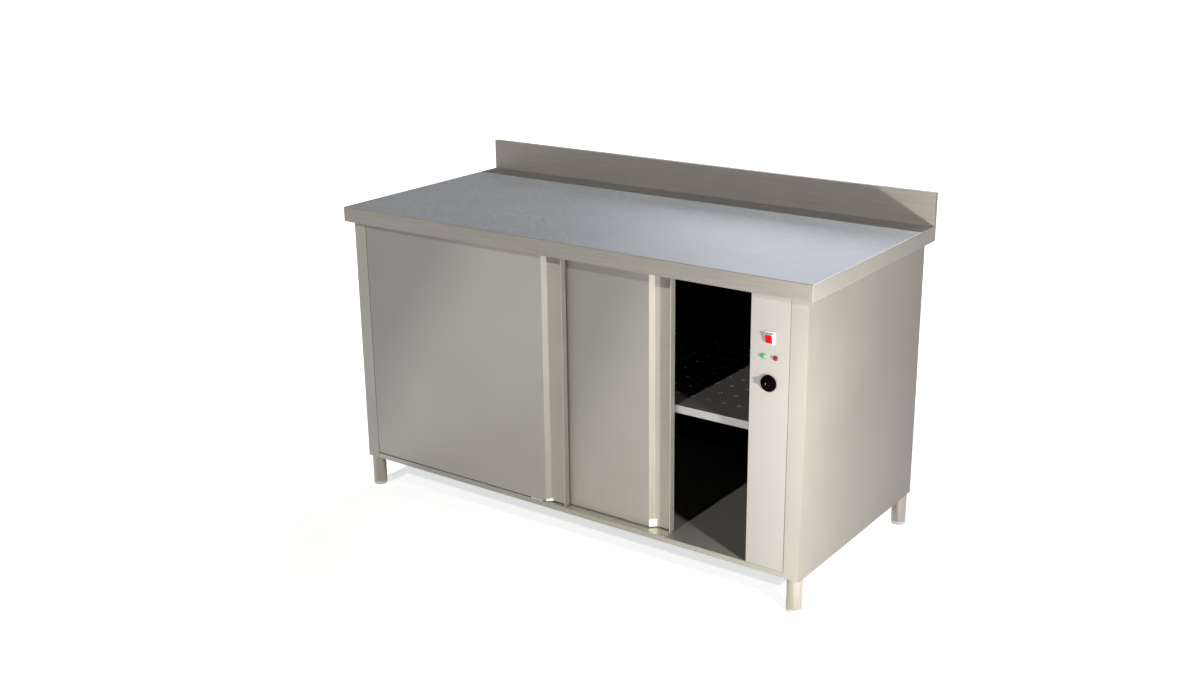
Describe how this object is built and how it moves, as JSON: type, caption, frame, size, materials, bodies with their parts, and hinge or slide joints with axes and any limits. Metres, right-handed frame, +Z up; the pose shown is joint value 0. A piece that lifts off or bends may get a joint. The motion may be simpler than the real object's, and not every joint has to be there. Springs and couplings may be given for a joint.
{
  "type": "plate warmer cabinet",
  "caption": "Free-standing heated cabinet for plates: worktop with upstand, sliding doors with folded grips, perforated shelf, side control panel and adjustable legs.",
  "frame": {"origin": "on the floor under the middle of the box around the whole cabinet", "axes": "+X to the right of someone who faces the doors, front towards -Y, +Z up"},
  "size_m": [1.5, 0.7, 0.95],
  "materials": {
    "worktop_steel": "satin, finely brushed",
    "casing_steel": "satin, brushed upright",
    "door_steel": "satin",
    "door_liner_steel": "satin",
    "panel_steel": "satin",
    "floor_steel": "satin",
    "liner_steel": "dark, matt",
    "shelf_steel": "satin, perforated",
    "galvanised_steel": "zinc coated",
    "leg_steel": "satin tube",
    "screw_steel": "bright",
    "element_steel": "heat darkened",
    "particle_board": "pressed chips",
    "mineral_wool": "fibrous",
    "black_rubber": "matt",
    "white_nylon": "smooth",
    "white_plastic": "moulded",
    "red_plastic": "moulded, lit from behind",
    "green_plastic": "moulded lens",
    "dark_red_plastic": "moulded lens",
    "black_plastic": "moulded",
    "grey_plastic": "moulded",
    "foot_plastic": "moulded",
    "copper": "drawn tube",
    "motor_paint": "painted",
    "aluminium_sheet": "pressed sheet",
    "cable_sleeve": "braided sleeve"
  },
  "bodies": {
    "cabinet": {"back_skin": "casing_steel", "base_tray": "galvanised_steel", "cable_gland": "grey_plastic", "capillary_tube": "copper", "chamber_back": "liner_steel", "chamber_ceiling": "liner_steel", "chamber_floor": "floor_steel", "chamber_wall_left": "liner_steel", "chamber_wall_right": "liner_steel", "control_panel": "panel_steel", "control_panel_screws": "screw_steel", "door_guide": "white_nylon", "door_stops": "black_rubber", "door_track": "galvanised_steel", "fan_motor": "motor_paint", "heater_box": "galvanised_steel", "heating_element": "element_steel", "insulation_back": "mineral_wool", "insulation_left": "mineral_wool", "insulation_right": "mineral_wool", "lamp_green": "green_plastic", "lamp_red": "dark_red_plastic", "leg_back_left": "leg_steel", "leg_back_right": "leg_steel", "leg_front_left": "leg_steel", "leg_front_right": "leg_steel", "leg_mounts": "galvanised_steel", "shelf": "shelf_steel", "shelf_brackets": "galvanised_steel", "side_skin_left": "casing_steel", "side_skin_right": "casing_steel", "switch_body": "white_plastic", "terminal_block": "white_plastic", "thermostat_body": "grey_plastic", "wiring_loom": "cable_sleeve", "worktop_core": "particle_board", "worktop_skin": "worktop_steel"},
    "left_door": {"left_door_skin": "door_steel", "left_door_liner": "door_liner_steel", "left_door_core": "mineral_wool", "left_door_glide": "white_nylon", "left_door_hangers": "galvanised_steel"},
    "right_door": {"right_door_skin": "door_steel", "right_door_liner": "door_liner_steel", "right_door_core": "mineral_wool", "right_door_glide": "white_nylon", "right_door_hangers": "galvanised_steel"},
    "left_door_roller_1": {"left_door_roller_1": "white_nylon"},
    "left_door_roller_2": {"left_door_roller_2": "white_nylon"},
    "right_door_roller_1": {"right_door_roller_1": "white_nylon"},
    "right_door_roller_2": {"right_door_roller_2": "white_nylon"},
    "thermostat_knob": {"thermostat_knob": "black_plastic", "thermostat_shaft": "screw_steel"},
    "switch_rocker": {"switch_rocker": "white_plastic", "switch_lens": "red_plastic"},
    "fan_impeller": {"fan_impeller": "aluminium_sheet"},
    "foot_front_left": {"foot_front_left": "foot_plastic"},
    "foot_front_right": {"foot_front_right": "foot_plastic"},
    "foot_back_left": {"foot_back_left": "foot_plastic"},
    "foot_back_right": {"foot_back_right": "foot_plastic"}
  },
  "joints": [
    {"name": "left_door_slide", "type": "slide", "parent": "cabinet", "child": "left_door", "axis": [1, 0, 0], "range_m": [0, 0.56475]},
    {"name": "right_door_slide", "type": "slide", "parent": "cabinet", "child": "right_door", "axis": [1, 0, 0], "range_m": [-0.3238, 0.24095]},
    {"name": "left_door_roller_1_turn", "type": "hinge", "parent": "left_door", "child": "left_door_roller_1", "pos_m": [-0.626, -0.3164, 0.8283], "axis": [0, 1, 0], "range_deg": [-5, 4050]},
    {"name": "left_door_roller_2_turn", "type": "hinge", "parent": "left_door", "child": "left_door_roller_2", "pos_m": [-0.04725, -0.3164, 0.8283], "axis": [0, 1, 0], "range_deg": [-5, 4050]},
    {"name": "right_door_roller_1_turn", "type": "hinge", "parent": "right_door", "child": "right_door_roller_1", "pos_m": [-0.3022, -0.2914, 0.8283], "axis": [0, 1, 0], "range_deg": [-2325, 1730]},
    {"name": "right_door_roller_2_turn", "type": "hinge", "parent": "right_door", "child": "right_door_roller_2", "pos_m": [0.27655, -0.2914, 0.8283], "axis": [0, 1, 0], "range_deg": [-2325, 1730]},
    {"name": "thermostat_turn", "type": "hinge", "parent": "cabinet", "child": "thermostat_knob", "pos_m": [0.63135, -0.33, 0.594], "axis": [0, 1, 0], "range_deg": [0, 300]},
    {"name": "switch_rock", "type": "hinge", "parent": "cabinet", "child": "switch_rocker", "pos_m": [0.63135, -0.327, 0.7076], "axis": [1, 0, 0], "range_deg": [-20, 0]},
    {"name": "fan_spin", "type": "hinge", "parent": "cabinet", "child": "fan_impeller", "pos_m": [0.6612, 0.08, 0.275], "axis": [1, 0, 0], "continuous": true},
    {"name": "foot_front_left_screw", "type": "slide", "parent": "cabinet", "child": "foot_front_left", "axis": [0, 0, 1], "range_m": [-0.025, 0]},
    {"name": "foot_front_right_screw", "type": "slide", "parent": "cabinet", "child": "foot_front_right", "axis": [0, 0, 1], "range_m": [-0.025, 0]},
    {"name": "foot_back_left_screw", "type": "slide", "parent": "cabinet", "child": "foot_back_left", "axis": [0, 0, 1], "range_m": [-0.025, 0]},
    {"name": "foot_back_right_screw", "type": "slide", "parent": "cabinet", "child": "foot_back_right", "axis": [0, 0, 1], "range_m": [-0.025, 0]}
  ],
  "couplings": [
    {"joint": "left_door_roller_1_turn", "follows": "left_door_slide", "rad_per_m": 125},
    {"joint": "left_door_roller_2_turn", "follows": "left_door_slide", "rad_per_m": 125},
    {"joint": "right_door_roller_1_turn", "follows": "right_door_slide", "rad_per_m": 125},
    {"joint": "right_door_roller_2_turn", "follows": "right_door_slide", "rad_per_m": 125}
  ]
}
